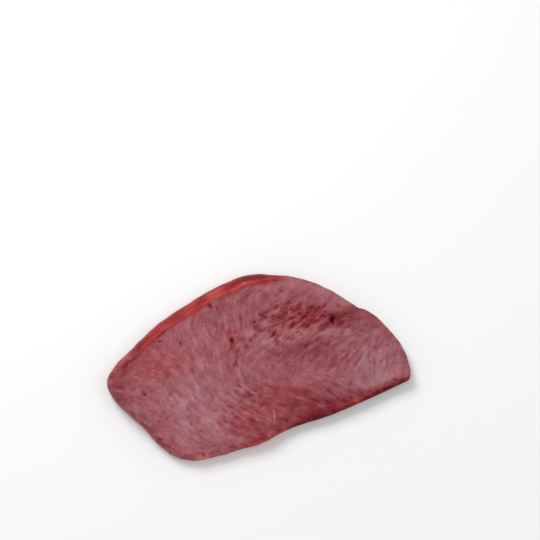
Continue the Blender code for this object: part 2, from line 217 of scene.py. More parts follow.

# Tears between the strands: thickness and reach, the noise at which they open, and their
# depth and painted shade outside and inside their zones
TEAR = (0.95, 1.6)
TEAR_RANGE = (2.1, 3.2)
TORN_MORE = 1.7
TEAR_DEPTHS = (0.18, 0.4)
TEAR_SHADES = (0.11, 0.22)
TORN_ZONES = (
    (30, 11, 17, 8.5, -16, 0.7), (14, 9, 17, 10, -10, 0.6), (-12, -26, 12, 14, -30, 0.4),
    (4, -36, 14, 6, -5, 0.35), (50, -18, 15, 14, 0.7),
)
TORN_LEAST = 0.2

# Open cells between the strands of the pitted zone, darkened with painted shade
CELL = (1.5, 2.6)
CELL_RANGE = (0.3, 1.2)
CELL_DEPTH = 0.48
CELL_SHADE = 0.2
CELL_RED = 0.3
CELL_ZONES = (
    (32, 9, 14, 8, -14, 0.45), (15, 9, 13, 9, -8, 0.35), (-3, 10, 5, 8, 0.25),
)

# Pits and slits are bent out of their ovals, and painted shade darkens the muscle in and round
# them, with red that is partly their own and partly painted for light bleeding through the
# muscle: the depths over which that sets in, and how much
WARP = 0.3
WARP_GRAIN = 2.4
SHADE_SPREAD = (1.4, 2.4)
PIT_SHADE = (0.0, 0.8, 0.24)
PITTED_GRAIN = 0.2
SHADE = (0.0, 0.9, 0.09)
SUNK_SHADE = (0.0, 1.0, 0.34)
DEEP_SUNK_SHADE = (1.4, 2.8, 0.12)
SUNK_RED = (0.0, 0.9, 0.3)

# Slits in the muscle
SLITS = (
    (61.9, -41.1, 1.8, 0.7, -28, 1), (-66.1, 4.7, 1.5, 0.6, -24, 0.44),
    (-43.9, -4.3, 1.1, 0.6, -4, 0.44), (-39.8, -7.5, 1.2, 0.8, -84, 0.44),
    (-51.4, -5.3, 1.2, 0.6, -78, 0.38), (-49.3, -7.3, 0.9, 0.6, -64, 0.5),
    (-39.6, -18.2, 1.1, 0.6, -84, 0.44), (-50.4, -15.4, 0.8, 0.7, 66, 0.5),
    (-54.4, -14.8, 0.8, 0.7, -24, 0.44), (-45.4, -25.3, 1.5, 0.6, -88, 0.56),
    (-33, -11.1, 1.5, 0.6, -58, 0.44), (-59.7, -16.9, 1.5, 1, -74, 0.5),
    (-6.8, 18.1, 1.2, 0.7, 86, 0.5), (-2.2, 12.9, 0.9, 0.6, -54, 0.62),
    (-19.4, 14.9, 1.1, 0.6, -84, 0.5), (-18.8, 11.2, 1.5, 0.6, 82, 0.44), (-7.3, 6.5, 2, 0.7, 56, 0.44),
    (-13.8, 2.7, 0.9, 0.8, 56, 0.5), (-9.2, 0.7, 1.3, 0.7, 16, 0.44), (-21.7, 3.5, 1.8, 0.6, -88, 0.44),
    (2.8, 1.5, 1.2, 0.7, 36, 0.5), (17.5, -17.5, 1.2, 0.6, 72, 0.44),
    (-11.6, -13.6, 1.6, 0.6, -68, 0.62), (-13.7, -15.7, 1.8, 0.6, -54, 0.5),
    (-10.9, -19.9, 1.8, 0.7, -62, 0.56), (-8.6, -20.6, 1.3, 0.8, -64, 0.6),
    (-5.2, -19.2, 1.2, 0.7, 36, 0.5), (-3.4, -23.7, 1.5, 0.6, -48, 0.62),
    (-13.4, -21.8, 2, 0.6, -64, 0.5), (-17.8, -21.5, 1.5, 0.6, -58, 0.56),
    (-20.1, -21.9, 1.1, 0.7, -68, 0.5), (-9.7, -25.9, 1.3, 0.6, -54, 0.5),
    (-5.2, -27.8, 1.4, 0.9, -24, 0.62), (-8.6, -28.9, 1.8, 0.6, -58, 0.6),
    (-26.9, -20.9, 1.1, 0.6, -54, 0.44), (-24.1, -25.1, 1.5, 0.6, -54, 0.5),
    (-24.4, -27.7, 1.5, 0.7, -54, 0.56), (-16.1, -28.4, 2, 0.6, -58, 0.56),
    (-11.6, -32.8, 2.5, 0.6, -38, 0.56), (3.3, -39, 1.5, 0.9, -24, 0.62),
    (52.3, 1.5, 1.1, 0.8, 36, 0.25), (56.8, -6.9, 1.5, 0.8, 46, 0.5), (59.9, -10.3, 0.9, 0.8, 22, 0.56),
    (57.4, -12.1, 1.2, 0.6, 16, 0.44), (47.7, -9.1, 1, 0.6, 36, 0.44), (57.2, -20.2, 1.2, 0.7, 6, 0.62),
    (58.7, -21.8, 0.9, 0.6, -24, 0.5), (49.4, -18.5, 1.5, 0.6, 16, 0.44), (44, -20.1, 2, 0.6, 36, 0.5),
    (58.9, -30.1, 1.4, 0.8, 42, 0.69), (53.9, -29, 1.2, 0.6, 82, 0.44), (46, -27, 1.8, 0.6, 32, 0.62),
    (40.1, -23.1, 1.1, 0.6, 26, 0.5), (35.4, -23.3, 1.2, 0.8, 22, 0.44),
)

# Tone of the face, from 0 for the darkest to 1 for the palest
BASE_TONE = 0.66
# The darkening patches along the straight lower edge, at y of -41 to -44, are painted shade where the
# face turns down to it
TONE_PATCHES = (
    (-67, 9, 6, 12, -0.14), (-28, -14, 24, 17, 10, 0.06), (-39, -26, 13, 11, 0.15), (4, -2, 9, 7, 0.09),
    (-45, 10, 14, 9, -20, -0.05), (4, 27, 15, 6, -0.08), (24, 9, 24, 8, -9, -0.06), (20, 2, 8, 4, 0.03),
    (33, 15, 4.5, 3, -20, 0.08), (54.6, -12, 5, 4, 0.06), (42, -24, 9, 7, -0.04), (-54, -8, 7, 7, 0.07),
    (-4.6, 10, 8.5, 4, 75, -0.06), (57, -6, 10, 9, -10, -0.1), (54, -31, 13, 9, -5, 0.28),
    (-24, -24, 14, 10, -30, 0.1), (6, -28, 20, 10, -12, -0.18), (24, -43.5, 22, 5, 1, -0.42),
    (56, -43.8, 13, 2.8, -0.42), (66, -39.6, 4, 2.6, 0.12), (39.2, -2.4, 4.6, 2.2, 15, -0.33),
    (41.6, 2.2, 3, 2, 20, -0.22), (48, -29, 5, 4, -0.12), (47.6, -8, 4, 6, -0.17),
    (57.4, -3.4, 3.5, 3, -0.16), (-9.9, -31.3, 4, 3, -30, 0.1), (23.6, 4.2, 4, 3, -0.14),
    (31, 1.8, 4.4, 2.6, 20, -0.23), (-46, -15.2, 4, 5, 0.17), (-30.1, -13.1, 5, 4, -0.09),
    (-24.5, -17.8, 4, 3, 0.09), (-36.4, -13.6, 3.2, 3, 0.16), (-9, -3.2, 8, 3.2, -0.14),
    (7.7, 27.7, 4, 3, 0.15), (-45.5, 21.3, 5, 3, 30, -0.13), (-29.6, 26.6, 4, 3, -0.09),
    (-43.8, -1, 4, 3, 0.08), (8.3, -14.1, 4, 3, 0.08), (42.5, -22.1, 4, 3, 0.08),
    (23.6, -3.8, 4.2, 2.6, 0.15), (13, -37, 6, 3, -0.06), (-61.6, -5.6, 4, 4, 0.1),
    (59.5, -27.2, 4, 4, -0.1), (66.6, -23.9, 3, 4, -0.08), (4, 33.6, 12, 2.6, -0.14),
    (39.6, -35.6, 4, 3, 0.08), (26.2, -13.3, 4, 3, -0.09), (-29.1, -30.1, 4, 3, -0.09),
    (18.2, 11.1, 3, 3, 0.07), (-51.9, -6.4, 4, 3, -0.08), (0.6, 8.5, 5, 3, 20, -0.07),
    (-7.2, 5, 7, 2.4, 12, -0.08), (7.1, -22, 4, 3, -0.08), (52, -20, 4, 4, -0.05),
    (21.5, 17.3, 3, 2.4, -0.08), (25.4, -26, 4, 3, 0.08), (64, -44.2, 8, 1.6, 2, -0.26),
    (-14, -33, 14, 8, -20, -0.17), (-58.5, -21, 2.6, 14, 18, -0.06), (55, 0, 7.5, 2.6, -6, -0.1),
    (-68, 12, 4, 5, -0.02), (12, -41, 6, 2.4, -0.13), (-1.6, -34.9, 2.8, 0.5, 71, 0.32),
    (46, 0.4, 2.6, 1.8, 20, -0.12), (33, -3.5, 9, 2.6, -28, -0.06), (-60, 18, 5, 0.9, 52, -0.2),
    (41.5, -17.5, 4, 3, 0.08), (48, -38.8, 12, 2.2, -3, 0.08), (46, -0.6, 4, 3, 20, -0.2),
    (47.6, -3.2, 3.8, 2.2, -20, -0.2), (33, 9, 12, 6, -14, -0.06), (-43, -7, 11, 5, -10, 0.14),
    (-22, 21, 7, 7, 0.08), (-57.5, 16, 5, 4.4, -20, -0.18), (-62, 6, 4, 4, 0.1),
    (1.4, -31, 5, 3.2, -30, 0.17), (52, -38, 10, 3, -3, 0.1), (35.4, -19.4, 6, 4.4, 40, -0.16),
    (17.5, -23.2, 9, 3.5, -8, 0.15),
)
# Painted light and shade along the folds: painted highlight on the lip and the ridge, painted shade in
# the valley and the crease
FOLD_LIGHT_AND_SHADE = ((LIP, 4.5, 0.1), (VALLEY, 5.0, -0.16), (RIDGE, 3.2, 0.2), (CREASE, 2.6, -0.06))
RED_PATCHES = (
    (-46, 12, 13, 10, -20, 0.4), (-55, -3, 6, 5, 0.2), (-53, -14.3, 5, 4, 0.25),
    (15.2, -34, 5, 3, 0.65), (-1, -39.6, 4, 2.4, 0.55), (21.6, 29.5, 5, 2.6, 20, 0.35),
    (-66, 12, 6, 8, 0.25), (-60, 18, 6, 1.4, 52, 0.8), (-14, -32, 12, 9, -20, 0.45),
    (-57, -22.7, 3, 1.6, -38, 0.9), (-4.6, 10.5, 9, 3.6, 75, 0.45), (6, -30, 22, 9, -6, 0.36),
    (38, -42.5, 34, 6, 0.45), (12, -39.5, 8, 4.5, 0.75), (-12.5, -42, 8, 3, 6, 0.9),
    (31.5, -33, 2.4, 1.3, 20, 0.6), (55, 1, 7, 2.4, -8, 0.45), (-53, -28, 3, 8, 28, 0.35),
    (-45, -36.5, 4, 2.4, -16, 0.45),
)
FILM_PATCHES = (
    (56, -30, 14, 8, -4, 0.6), (68, -28, 4, 11, 0.7), (57, -15, 9, 12, 0.45), (-24, 6, 8, 5, 0.15),
    (-26, -14, 22, 15, 10, 0.2),
)
BROWN_PATCHES = (
    (58, -6, 12, 8, 0.45), (55.5, 1.6, 8, 3.4, -8, 0.6), (-67, 11, 6, 9, 0.5),
    (31, -10, 14, 5, -8, 0.55),
)
FAT_PATCHES = (
    (39.4, -42.4, 1.7, 1.3, 20, 0.85), (-10, -43.4, 5, 1.4, 12, 0.5), (30.5, 32.5, 3, 1, -38, 0.5),
)
THREADS = (
    ((-19, -16.1), (-17.9, -18.6), (-16.5, -21.7)),
    ((-15.6, -22.1), (-12.8, -25.5), (-9.9, -28.7), (-7.1, -32.2), (-4.3, -34.5)),
    ((-0.7, -31.6), (-1.1, -33.9), (-2.5, -36.6)), ((-3.7, -20.5), (-2.8, -22.3), (-2, -23.5)),
    ((-13.5, -15.2), (-11.6, -16.4), (-10.2, -16.3)),
    ((26.2, -27.9), (28.3, -31.6), (30.6, -34.9), (32.6, -38.8)),
    ((-8.7, -14.1), (-7.8, -17.6), (-5.6, -21.4)),
)
THREAD_WIDTH = 0.4
THREAD_RELIEF = 0.08
THREAD_TONE = 0.14

# Noise on the flank, on a strip from above its top to below its foot: thickness and reach
# of the streaks along it and the strands down it
FLANK_STRIP = (-4.0, 16.0)
# The third noise places the membrane's painted glints and also makes its edge wander
STREAKS = {"streak": (0.7, 4.0), "wide_streak": (1.8, 7.0), "glint": (1.0, 1.3)}
FLANK_STRAND = (0.8, 1.6)
STRAND_LEAN = (0.35, 0.94)
LUMP = 4.0

# Membrane of the natural rim: flank widths over which it sets in, ranges of x over which it
# changes, and how far it laps onto the face
RIM_WIDTHS = (2.4, 5.0)
RIM_FADES = (-57.0, -63.0, 0.8)
TIP = (-46.0, -60.0)
TOP_END = (3.0, 15.0)
RIM_LAP = 0.8
NARROWER = (-14.0, 8.0, 8.0)
NARROW_LAP = -0.8
RIGHT_LAP = (9.0, 17.0, 0.7)
LUMP_WANDER = 0.25
GLINT_WANDER = 0.1

# Bands of the membrane, by the way from its edge
RIM_EDGE = (-1.0, 1.0)
OUTER_SIDE = (1.6, 3.6)
TIP_SOONER = 0.9
INNER_SIDE = (1.9, 1.7)
# Reach of the painted shade at the face's edge
EDGE_SHADE_REACH = 0.8
FOOT_DARKENS = (0.5, 0.9)
# Range of noise over which the painted glints of the wet membrane show
GLINT_RANGE = (1.0, 1.9)
TOP_END_CALM = 0.6
TIP_COVER = 0.15
OUTER_COVER = 0.7

# What each band and noise adds to its tone
RIM_TONE = 0.45
# The inner side's paler orange is partly fat and partly painted highlight, its flecks are painted
# glints of the wet membrane, and the dark line at the face's edge is painted shade
RIM_EFFECTS = {
    "streak": 0.05, "wide_streak": 0.08, "lump": 0.09, "inner_highlight": 0.14, "glint": 0.24,
    "inner_end": 0.09, "edge_shade": -0.16, "foot": -0.12, "tip": -0.12, "narrower": -0.03,
    "outer_end": -0.26,
}

# Stretches where it is paler or darker: x of the middle, reach and change of tone
RIM_STRETCHES = (
    (-44.0, 14.0, -0.12), (-16.0, 10.0, 0.14), (6.0, 7.0, -0.06), (28.0, 6.0, -0.1),
)

# Fat on the flank of the lower side: x from and to, the share of the way down where it
# starts, strength and tone
LOWER_FAT = (
    (-48.0, -34.0, 0.05, 1.0, 0.93), (-20.0, -7.0, 0.3, 0.6, 0.5), (-5.0, 4.0, 0.05, 0.5, 0.6),
)
LOWER_SIDE = -20.0
FAT_FADE = 6.0
FAT_RAGGED = 0.14
FAT_SETS_IN = 0.25
FAT_THINS = 0.45

# Walls that the knife cut: ranges of x and y of the brown right one and the left one, their
# relief, and the painted shade that darkens them by the share of the way down
RIGHT_WALL = (26.0, 38.0)
RIGHT_WALL_Y = (-41.0, -39.0)
LEFT_WALL = (-17.0, -25.0)
FLANK_RELIEF = 0.05
LUMP_RELIEF = 0.04
FLANK_INSET = 0.08
FLANK_TONE = 0.07
LUMP_TONE = 0.04
WALL_SETS_IN = 0.3
WALL_SHADE_DOWN = 0.5
WALL_SHADE = (0.24, 0.04)
WALL_LESS_RED = 0.7
WALL_BROWN = 0.7
# Painted shade on the face just inside the membrane's edge: its reach and strength
CROWN_SHADE = (2.6, 0.12)

# The underside is a plainer cut, with shallow dents
UNDER_TONE = -0.1
UNDER_CONTRAST = 0.6
UNDER_RED = 0.3
UNDER_DENTS = (0.12, -0.7)
UNDER_RELIEF = (-0.35, 0.17)
UNDER_RIM = 3.0

# Colours by tone, in levels of 0 to 255
TONES = (
    (0, 74, 6, 10), (0.13, 108, 24, 31), (0.38, 130, 57, 64), (0.63, 149, 84, 91),
    (0.88, 168, 111, 118), (1, 178, 124, 131),
)
RED_TONES = (
    (0, 78, 3, 6), (0.13, 116, 17, 23), (0.38, 144, 40, 46), (0.63, 166, 64, 68), (0.88, 184, 92, 96),
    (1, 192, 108, 112),
)
BROWN_TONES = (
    (0, 66, 14, 14), (0.38, 120, 52, 54), (0.63, 136, 74, 77), (1, 162, 106, 110),
)
FILM_TONES = (
    (0, 84, 26, 36), (0.38, 124, 66, 73), (0.63, 142, 89, 96), (1, 172, 129, 137),
)
RIM_TONES = (
    (0, 92, 14, 20), (0.3, 136, 34, 37), (0.6, 160, 56, 54), (0.8, 174, 74, 66), (1, 202, 114, 92),
)
FAT_TONES = (
    (0, 158, 38, 32), (0.5, 186, 72, 60), (1, 208, 124, 114),
)
FLOOR_WHITE = (243, 243, 243)

# The shader's own noise: size of its grains in millimetres and what they add
HAIR_SIZE = (1.3, 0.58, 0.58)
SPECK_SIZE = (0.6, 0.6, 0.6)
CLOUD_SIZE = (5.0, 5.0, 5.0)
HAIR_STRENGTH = 1.1
TOUSLED_HAIR = -0.5
HAIR_TONE = 0.58
SPECK_TONE = 0.17
CLOUD_TONE = 0.09
CLOUD_ON_RED = 0.6
CLOUD_RED = 0.25
RIM_SPECK = 0.2
RIM_CLOUD = 0.4
ROUGHNESS = 0.5
RIM_ROUGH = -0.14
SPECK_ROUGH = 0.25
SPECK_BUMP = 0.6

# Map for textures: a square of this size holds both faces and the flank in two strips
MAP_SPAN = 190.0
MAP_MARGIN = 1.5
FACE_PLACE = (76.5, 46.0)
UNDER_PLACE = (76.5, 140.0)
STRIP_PLACES = (154.5, 172.0)

# The camera, and the lights with their metres to its right, away and up, size and power
VIEW_TURN = -23.5
VIEW_TILT = 22.0
VIEW_PLACE = (-0.0713, -0.1875, 0.6173)
LENS = 85.0
LIGHTS = (("key", -0.45, 0.6, 0.75, 0.5, 7.0), ("fill", 0.7, -0.3, 0.8, 0.9, 2.2))
WORLD_STRENGTH = 0.55
FLOOR_REACH = 4.0


def smooth_step(value):
    """Ease from 0 to 1 as the value goes from 0 to 1."""
    t = np.clip(value, 0.0, 1.0)
    return t * t * (3.0 - 2.0 * t)


def eased(value, start, end, rise=1.0):
    """Ease from 0 where the value is at the start to the rise where it is at the end."""
    return rise * smooth_step((value - start) / (end - start))


def blend(share, low, high):
    """From the low value to the high one by a share of 0 to 1."""
    return low + (high - low) * share


def between(value, low, high, fade):
    """1 between two values, easing to 0 at both within the fade."""
    return eased(value, low, low + fade) * eased(value, high, high - fade)


def hill(points, x, y, reach_along, reach_across, turn=0):
    """A smooth hill of height 1 at x, y, turned by some degrees."""
    angle = math.radians(turn)
    offset = points - (x, y)
    along = offset @ (math.cos(angle), math.sin(angle))
    across = offset @ (-math.sin(angle), math.cos(angle))
    return np.exp(-(along / reach_along) ** 2 - (across / reach_across) ** 2)


def near_line(points, line, half_width):
    """1 on a line of straight runs, fading to 0 beside it."""
    nearest = np.full(len(points), np.inf)
    for start, end in zip(line, line[1:]):
        run = np.subtract(end, start)
        share = np.clip((points - start) @ run / (run @ run), 0.0, 1.0)
        offset = points - start - share[:, None] * run
        nearest = np.minimum(nearest, np.linalg.norm(offset, axis=1))
    return np.exp(-(nearest / half_width) ** 2)


def nearest_on_ring(points, ring):
    """How far the nearest point of a ring is from each point, and which it is."""
    tree = KDTree(len(ring))
    for number, (x, y) in enumerate(ring):
        tree.insert((x, y, 0.0), number)
    tree.balance()
    found = [tree.find((x, y, 0.0)) for x, y in points]
    return np.array([hit[2] for hit in found]), np.array([hit[1] for hit in found])


def is_inside(points, ring):
    """True for each point that a closed ring surrounds."""
    x, y = points.T
    crossings = np.zeros(len(points), dtype=int)
    for (x0, y0), (x1, y1) in zip(ring, np.roll(ring, -1, axis=0)):
        if y0 == y1:
            continue
        spans = (y0 > y) != (y1 > y)
        crossings += spans & (x < x0 + (y - y0) / (y1 - y0) * (x1 - x0))
    return crossings % 2 == 1


def curve_through(knots, step):
    """Even points along a smooth curve, up to its last knot."""
    knots = np.array(knots)
    padded = np.vstack([2 * knots[0] - knots[1], knots, 2 * knots[-1] - knots[-2]])
    t = np.linspace(0.0, 1.0, PARTS_A_RUN, endpoint=False)[:, None]
    runs = []
    for before, start, end, after in zip(padded, padded[1:], padded[2:], padded[3:]):
        linear_part = (end - before) * t
        square = (2 * before - 5 * start + 4 * end - after) * t ** 2
        cube = (3 * start - before - 3 * end + after) * t ** 3
        runs.append(start + 0.5 * (linear_part + square + cube))
    dense = np.vstack([*runs, knots[-1]])
    lengths = np.linalg.norm(np.diff(dense[:, :2], axis=0), axis=1)
    reached = np.concatenate([[0.0], np.cumsum(lengths)])
    even = np.linspace(0.0, reached[-1], round(reached[-1] / step), endpoint=False)
    return np.column_stack([np.interp(even, reached, column) for column in dense.T])


def outline_rings():
    """The outline, its inward directions, the flank's width and the way round."""
    ring = curve_through(OUTLINE, RING_STEP)
    outline, flank = ring[:, :2], ring[:, 2]
    reach = round(TANGENT_REACH / RING_STEP)
    tangent = np.roll(outline, -reach, axis=0) - np.roll(outline, reach, axis=0)
    tangent /= np.linalg.norm(tangent, axis=1)[:, None]
    inward = np.column_stack([-tangent[:, 1], tangent[:, 0]])
    reached = np.arange(len(outline)) * RING_STEP
    wave = sum(height * np.sin(2 * math.pi * reached / length) for length, height in OUTLINE_WAVES)
    wave *= eased(reached, 0.0, WAVE_FADE)
    wave *= eased(reached[-1] - reached, STRAIGHT_EDGE - WAVE_FADE, STRAIGHT_EDGE)
    outline = outline + inward * wave[:, None]
    return outline, inward, flank, reached


def unevenness(points, rng):
    """Soft waves in many directions."""
    total = np.zeros(len(points))
    for _ in range(UNEVEN_WAVES):
        heading, phase = rng.uniform(0.0, 2 * math.pi, 2)
        length = rng.uniform(*UNEVEN_LENGTHS)
        across = points @ (math.cos(heading), math.sin(heading))
        total += np.sin(2 * math.pi * across / length + phase)
    return UNEVEN_HEIGHT * total / math.sqrt(UNEVEN_WAVES / 2)


def face_form(points, warp, to_edge):
    """Height of the face without its strands, and how far each place is sunk in a slit or
    vessel, pitted, and shaded by pits."""
    rng = np.random.default_rng(SEED)
    x, y = points.T
    height = THICKNESS - eased(x, *RIGHT_THINS)
    height -= eased(-y - LEFT_LEAN * x, *LEFT_THINS)
    along_edge = np.prod([eased(x, *end) for end in EDGE_ENDS], axis=0)
    height -= along_edge * eased(y, *EDGE_FALLS)
    for *place, rise in SWELLS:
        height += rise * hill(points, *place)
    height -= PITTED_DEPTH * hill(points, *PITTED_ZONE)
    for line, half_width, rise in FOLDS:
        height += rise * near_line(points, line, half_width)
    sunk, pitted, shade = np.zeros((3, len(points)))
    warped = points + WARP * warp
    for x, y, *halves, turn, depth in PITS:
        pitted += depth * hill(warped, x, y, *halves, turn)
        shade += depth * hill(warped, x, y, *np.multiply(SHADE_SPREAD, halves), turn)
    for *place, depth in (*VESSELS, *SLITS):
        sunk += depth * hill(warped, *place)
    height += unevenness(points, rng) - pitted - sunk
    height -= ROUNDING * np.exp(-(to_edge / ROUNDING_REACH) ** 2)
    return height, sunk, pitted, shade


class Raster:
    """Even places over an oblong, and fields worked out on them."""

    def __init__(self, low, high):
        self.low = np.array(low, dtype=float)
        columns, rows = (np.subtract(high, low) / PITCH).astype(int) + 1
        self.shape = (rows, columns)
        row, column = np.mgrid[0:rows, 0:columns].reshape(2, -1)
        self.places = self.low + PITCH * np.column_stack([column, row])
        self.fields = {}

    def read(self, field, points):
        """A field's values at some points."""
        place = (points - self.low) / PITCH
        across = np.clip(place[:, 0], 0.0, self.shape[1] - WITHIN)
        up = np.clip(place[:, 1], 0.0, self.shape[0] - WITHIN)
        column, row = across.astype(int), up.astype(int)
        u, v = across - column, up - row
        field = field.reshape(self.shape)
        lower = (1 - u) * field[row, column] + u * field[row, column + 1]
        upper = (1 - u) * field[row + 1, column] + u * field[row + 1, column + 1]
        return (1 - v) * lower + v * upper

    def at(self, points, *names):
        """Kept fields' values at some points."""
        return [self.read(self.fields[name], points) for name in names]

    def noise(self, grain, rng):
        """Soft random grains, of mean 0 and spread 1."""
        white = rng.standard_normal(self.shape)
        up = np.fft.fftfreq(self.shape[0])[:, None]
        across = np.fft.rfftfreq(self.shape[1])[None, :]
        blur = 0.5 * grain / PITCH
        kept = np.exp(-2.0 * (math.pi * blur) ** 2 * (up ** 2 + across ** 2))
        soft = np.fft.irfft2(np.fft.rfft2(white) * kept, self.shape).ravel()
        return (soft - soft.mean()) / soft.std()

    def combed(self, grain, reach, heading, rng):
        """Random grains drawn out along the fibres."""
        noise = self.noise(grain, rng)
        total = noise.copy()
        for sense in (1.0, -1.0):
            place = self.places.copy()
            going = sense * heading
            for count in range(1, int(2.0 * reach / COMB_STEP) + 1):
                place += COMB_STEP * going
                column, row = np.rint((place - self.low) / PITCH).astype(int).T
                column = np.clip(column, 0, self.shape[1] - 1)
                row = np.clip(row, 0, self.shape[0] - 1)
                turned = heading[row * self.shape[1] + column]
                back = (turned * going).sum(axis=1) < 0.0
                going = np.where(back[:, None], -turned, turned)
                weight = math.exp(-((count * COMB_STEP / reach) ** 2))
                total += weight * self.read(noise, place)
        return (total - total.mean()) / total.std()


def fibre_heading(points):
    """Unit direction of the muscle strands, between the guides."""
    total = np.zeros((len(points), 2))
    for x, y, angle in FIBRE_GUIDES:
        twice = 2.0 * math.radians(angle)
        weight = 1.0 / (((points - (x, y)) ** 2).sum(axis=1) + GUIDE_SOFTNESS) ** 2
        total += weight[:, None] * (math.cos(twice), math.sin(twice))
    angle = 0.5 * np.arctan2(total[:, 1], total[:, 0])
    return np.column_stack([np.cos(angle), np.sin(angle)])


def patches(points, places):
    """How strongly patches cover each place."""
    cover = np.zeros(len(points))
    for *place, strength in places:
        cover = np.maximum(cover, strength * hill(points, *place))
    return cover


def face_raster(rng):
    """Relief, tone and colours of the face, over the whole plan."""
    raster = Raster(np.negative(PLAN_REACH), PLAN_REACH)
    places = raster.places
    heading = fibre_heading(places)
    tousled = np.maximum(patches(places, TOUSLED_ZONES), TOUSLED_LEAST)
    strand = raster.combed(*STRAND, heading, rng)
    strand += (TOUSLED_NOISE * raster.noise(TOUSLED_GRAIN, rng) - strand) * tousled
    bundle = raster.combed(*BUNDLE, heading, rng)
    tear_noise = raster.combed(*TEAR, heading, rng)
    blotch = raster.noise(BLOTCH, rng)
    wide_blotch = raster.noise(WIDE_BLOTCH, rng)
    mottle = raster.noise(MOTTLE, rng)
    cord = raster.combed(*CORD, heading, rng)
    crest, power = CORD_CREST
    cord = np.where(cord > 0.0, crest * np.abs(cord) ** power, CORD_TROUGH * cord)
    cord *= patches(places, CORD_ZONES)
    cell = eased(raster.combed(*CELL, heading, rng), *CELL_RANGE)
    cell *= patches(places, CELL_ZONES)
    torn = np.maximum(patches(places, TORN_ZONES), TORN_LEAST)
    tear = eased(TORN_MORE * torn - tear_noise, *TEAR_RANGE)
    half_width, calm = LIP_CALM
    lively = 1.0 + patches(places, LIVELY_ZONES)
    lively *= 1.0 - calm * near_line(places, LIP, half_width)
    thread = np.max([near_line(places, line, THREAD_WIDTH) for line in THREADS], axis=0)

    relief = (STRAND_RELIEF * strand + BUNDLE_RELIEF * bundle) * lively
    relief += CORD_RELIEF * cord + THREAD_RELIEF * thread
    relief -= tear * blend(torn, *TEAR_DEPTHS) + CELL_DEPTH * cell
    tone = BASE_TONE + (STRAND_TONE * strand + BUNDLE_TONE * bundle) * lively
    tone += CORD_TONE * cord + MOTTLE_TONE * mottle * lively
    tone += BLOTCH_TONE * (blotch + wide_blotch)
    uneven = 1.0 + PATCH_BLOTCH * blotch + PATCH_BUNDLE * bundle
    for *place, change in TONE_PATCHES:
        tone += change * hill(places, *place) * uneven
    # Painted highlight on the lip and ridge, painted shade in the valley and crease
    for line, half_width, change in FOLD_LIGHT_AND_SHADE:
        tone += change * near_line(places, line, half_width) * uneven
    # Paler threads, and painted shade in the tears and open cells
    tone += THREAD_TONE * thread - tear * blend(torn, *TEAR_SHADES) - CELL_SHADE * cell
    red = patches(places, RED_PATCHES) * uneven + BLOTCH_RED * wide_blotch
    double_angle = 2.0 * np.arctan2(heading[:, 1], heading[:, 0])
    raster.fields = {
        "relief": relief, "grain": strand,
        "warp_x": raster.noise(WARP_GRAIN, rng), "warp_y": raster.noise(WARP_GRAIN, rng),
        "tone": tone, "red": red + CELL_RED * cell,
        "brown": patches(places, BROWN_PATCHES) * uneven,
        "film": patches(places, FILM_PATCHES) * uneven,
        "fat": patches(places, FAT_PATCHES) * (1.0 + FAT_STRAND * strand),
        "tousled": tousled,
        "run_x": 0.5 + 0.5 * np.cos(double_angle),
        "run_y": 0.5 + 0.5 * np.sin(double_angle),
    }
    return raster


COLOUR_FIELDS = ("tone", "red", "brown", "film", "fat", "tousled", "run_x", "run_y")


def flank_raster(length, rng):
    """Streaks along the flank and strands down it, on a strip round the slice."""
    above, below = FLANK_STRIP
    raster = Raster((0.0, above), (length + 1.0, below))
    lengthwise = np.tile((1.0, 0.0), (len(raster.places), 1))
    upright = np.tile(STRAND_LEAN, (len(raster.places), 1))
    for name, grain in STREAKS.items():
        raster.fields[name] = raster.combed(*grain, lengthwise, rng)
    raster.fields["strand"] = raster.combed(*FLANK_STRAND, upright, rng)
    raster.fields["lump"] = raster.noise(LUMP, rng)
    return raster


